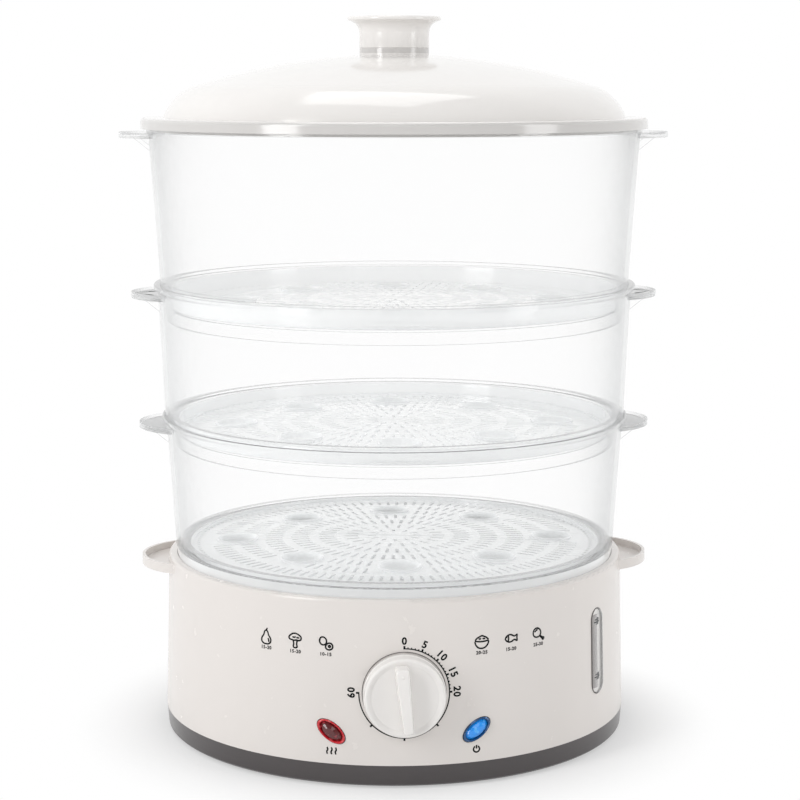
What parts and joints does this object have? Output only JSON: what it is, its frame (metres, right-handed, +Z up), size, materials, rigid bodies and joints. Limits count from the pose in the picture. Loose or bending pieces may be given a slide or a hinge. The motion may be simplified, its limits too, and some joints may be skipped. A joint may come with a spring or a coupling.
{
  "type": "electric food steamer",
  "caption": "Free-standing electric food steamer with a heated water base, timer dial, gauge, drip tray, stacked clear bowls with pierced floors and a domed lid.",
  "frame": {"origin": "on the stack's upright axis, at the surface that the feet stand on", "axes": "+Z up along the stack, -Y towards the front with the timer dial, +X to the right seen from the front"},
  "size_m": [0.2832, 0.2734, 0.37],
  "materials": {
    "white_plastic": "satin",
    "lid_plastic": "gloss",
    "knob_plastic": "satin",
    "dark_plastic": "matt",
    "clear_plastic": "gloss",
    "red_lens": "gloss",
    "blue_lens": "gloss",
    "foot_rubber": "matt",
    "silicone": "matt",
    "heater_aluminium": "cast",
    "element_steel": "satin",
    "screw_steel": "zinc plated",
    "bell_steel": "polished",
    "black_plastic": "matt",
    "holder_plastic": "matt",
    "bulb_glass": "gloss"
  },
  "bodies": {
    "base": {"rubber_feet": "foot_rubber", "base_cover": "dark_plastic", "cover_screws": "screw_steel", "base_housing": "white_plastic", "water_tank": "white_plastic", "heater_gasket": "silicone", "heater_plate": "heater_aluminium", "heating_element": "element_steel", "heater_clamp": "screw_steel", "heater_screws": "screw_steel", "thermostat": "screw_steel", "thermal_fuse": "element_steel", "timer_case": "black_plastic", "timer_bell": "bell_steel", "timer_screws": "screw_steel", "red_lamp_lens": "red_lens", "blue_lamp_lens": "blue_lens", "lamp_holders": "holder_plastic", "lamp_bulbs": "bulb_glass", "gauge_window": "clear_plastic", "gauge_gasket": "silicone", "gauge_chamber": "white_plastic", "cord_gland": "black_plastic", "terminal_block": "holder_plastic"},
    "timer_dial": {"timer_dial": "knob_plastic", "timer_shaft": "bell_steel"},
    "steam_ring": {"steam_ring": "white_plastic"},
    "drip_tray": {"drip_tray": "clear_plastic"},
    "bowl_1": {"bowl_1": "clear_plastic"},
    "bowl_floor_1": {"bowl_floor_1": "clear_plastic"},
    "bowl_2": {"bowl_2": "clear_plastic"},
    "bowl_floor_2": {"bowl_floor_2": "clear_plastic"},
    "bowl_3": {"bowl_3": "clear_plastic"},
    "bowl_floor_3": {"bowl_floor_3": "clear_plastic"},
    "lid": {"lid": "lid_plastic", "lid_knob": "lid_plastic", "lid_knob_screw": "screw_steel"}
  },
  "joints": [
    {"name": "timer_turn", "type": "hinge", "parent": "base", "child": "timer_dial", "pos_m": [0, -0.1203, 0.0477], "axis": [0, 1, 0], "range_deg": [0, 276]},
    {"name": "drip_tray_lift", "type": "slide", "parent": "base", "child": "drip_tray", "axis": [0, 0, 1], "range_m": [0, 0.06]},
    {"name": "steam_ring_lift", "type": "slide", "parent": "base", "child": "steam_ring", "axis": [0, 0, 1], "range_m": [0, 0.007]},
    {"name": "bowl_1_lift", "type": "slide", "parent": "drip_tray", "child": "bowl_1", "axis": [0, 0, 1], "range_m": [0, 0.08]},
    {"name": "bowl_floor_1_lift", "type": "slide", "parent": "bowl_1", "child": "bowl_floor_1", "axis": [0, 0, 1], "range_m": [0, 0.03]},
    {"name": "bowl_2_lift", "type": "slide", "parent": "bowl_1", "child": "bowl_2", "axis": [0, 0, 1], "range_m": [0, 0.08]},
    {"name": "bowl_floor_2_lift", "type": "slide", "parent": "bowl_2", "child": "bowl_floor_2", "axis": [0, 0, 1], "range_m": [0, 0.035]},
    {"name": "bowl_3_lift", "type": "slide", "parent": "bowl_2", "child": "bowl_3", "axis": [0, 0, 1], "range_m": [0, 0.08]},
    {"name": "bowl_floor_3_lift", "type": "slide", "parent": "bowl_3", "child": "bowl_floor_3", "axis": [0, 0, 1], "range_m": [0, 0.045]},
    {"name": "lid_lift", "type": "slide", "parent": "bowl_3", "child": "lid", "axis": [0, 0, 1], "range_m": [0, 0.1]}
  ]
}
